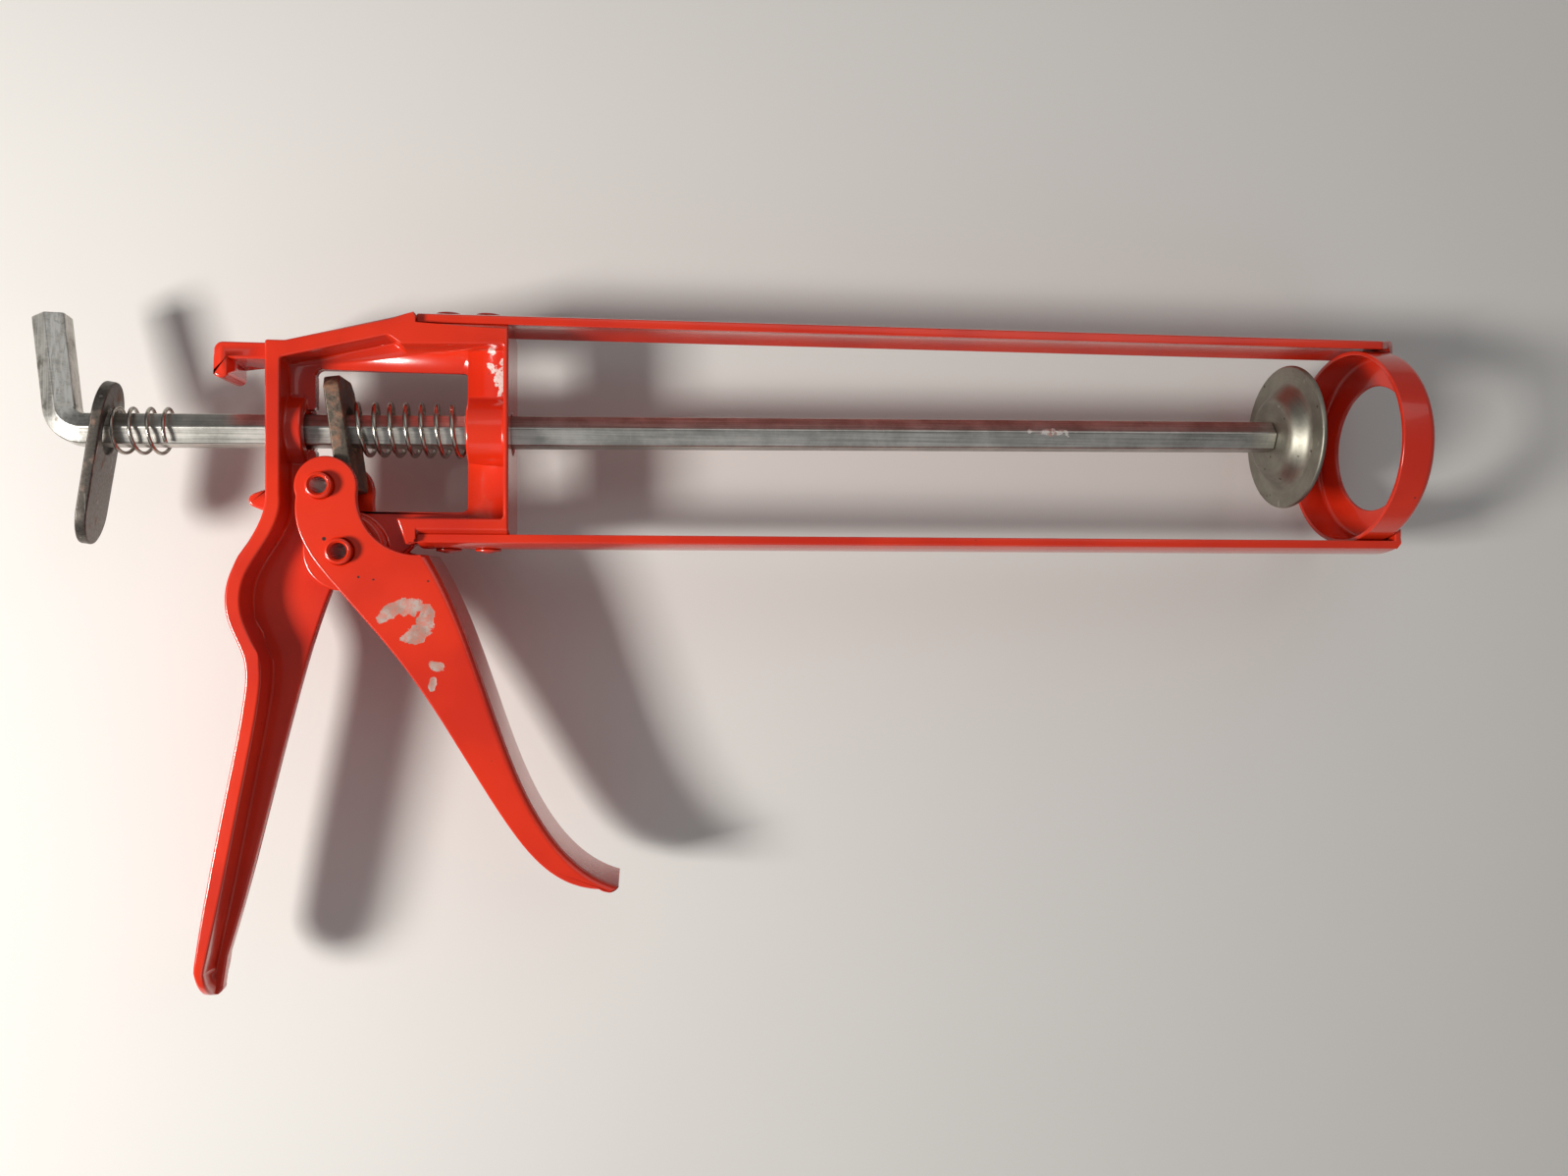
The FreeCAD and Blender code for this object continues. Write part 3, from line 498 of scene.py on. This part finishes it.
softened("frame_body", 0.65, red, segments=3)
for rail in ("top_rail", "bottom_rail"):
    softened(rail, 0.4, red)
softened("nose_cup", 0.35, red)
for node in ("top_front_rivet", "top_rear_rivet", "bottom_front_rivet", "bottom_rear_rivet"):
    softened(node, 0.15, red)
softened("trigger", 0.5, trigger_red, segments=3)
for node in ("pivot_rivet", "pusher_rivet"):
    softened(node, 0.12, rivet_red)
for node in ("pivot_washer_upper", "pivot_washer_lower"):
    softened(node, 0.12, washer_zinc)
softened("plunger_rod", 0.45, rod_zinc, segments=3)
softened("pressure_plate", 0.2, plate_zinc)
softened("plate_washer", 0.15, plate_zinc)
softened("plate_clip", 0.12, spring_steel)
softened("drive_plate", 0.45, drive_rust)
softened("release_plate", 0.4, release_rust)
coil("drive_coil", "drive_spring", "frame", start=-40.7, length=28.5, lift=0.6, radius=6.4,
     wire=1.2, turns=7.15, lean=math.tan(math.radians(8.0)))
coil("release_coil", "release_spring", "release_spring", start=-97.3, length=14.4, lift=0.0,
     radius=5.45, wire=0.9, turns=3.6, lean=-math.tan(math.radians(9.0)))


# ------------------------------------------------------------------ floor, light and camera
def floor():
    mesh = bmesh.new()
    half = 4.0
    corners = [mesh.verts.new((x * half, y * half, 0.0)) for x, y in ((-1, -1), (1, -1), (1, 1), (-1, 1))]
    mesh.faces.new(corners)
    data = bpy.data.meshes.new("floor")
    mesh.to_mesh(data)
    mesh.free()
    ground = bpy.data.objects.new("floor", data)
    bpy.context.scene.collection.objects.link(ground)
    s = Shader("pale_floor", Roughness=0.75)
    tone = s.noise(160, detail=3)
    data.materials.append(s.finish(s.mix(tone, (0.66, 0.645, 0.62), (0.70, 0.685, 0.66))))


def area_light(name, place, target, size, watts, colour):
    lamp = bpy.data.lights.new(name, "AREA")
    lamp.shape = "RECTANGLE"
    lamp.size, lamp.size_y = size
    lamp.energy = watts
    lamp.color = colour
    item = bpy.data.objects.new(name, lamp)
    item.location = place
    item.rotation_euler = (target - place).to_track_quat("-Z", "Y").to_euler()
    bpy.context.scene.collection.objects.link(item)


floor()
middle = at(40, -40, 0)
area_light("key", at(-480, -150, 430), middle, (0.15, 0.15), 5.4, (1.0, 0.965, 0.92))
area_light("fill", at(260, 420, 640), middle, (0.8, 0.6), 0.9, (1.0, 0.98, 0.96))
area_light("low_fill", at(160, -560, 460), middle, (0.6, 0.4), 0.4, (0.97, 0.98, 1.0))

world = bpy.data.worlds.new("studio")
world.use_nodes = True
world.node_tree.nodes["Background"].inputs["Color"].default_value = (0.92, 0.93, 0.95, 1.0)
world.node_tree.nodes["Background"].inputs["Strength"].default_value = 0.17
bpy.context.scene.world = world
bpy.context.scene.view_settings.view_transform = "Standard"

camera_data = bpy.data.cameras.new("camera")
camera_data.sensor_width = 36.0
camera_data.lens = 27.01
camera_data.clip_start = 0.01
camera = bpy.data.objects.new("camera", camera_data)
lean = Matrix.Rotation(math.radians(-0.100), 3, "Z") @ Matrix.Rotation(math.radians(6.894), 3, "Y") \
    @ Matrix.Rotation(math.radians(0.465), 3, "X")
camera.matrix_world = Matrix.Translation(at(31.00, -36.47, 305.12)) @ lean.transposed().to_4x4()
bpy.context.scene.collection.objects.link(camera)
bpy.context.scene.camera = camera
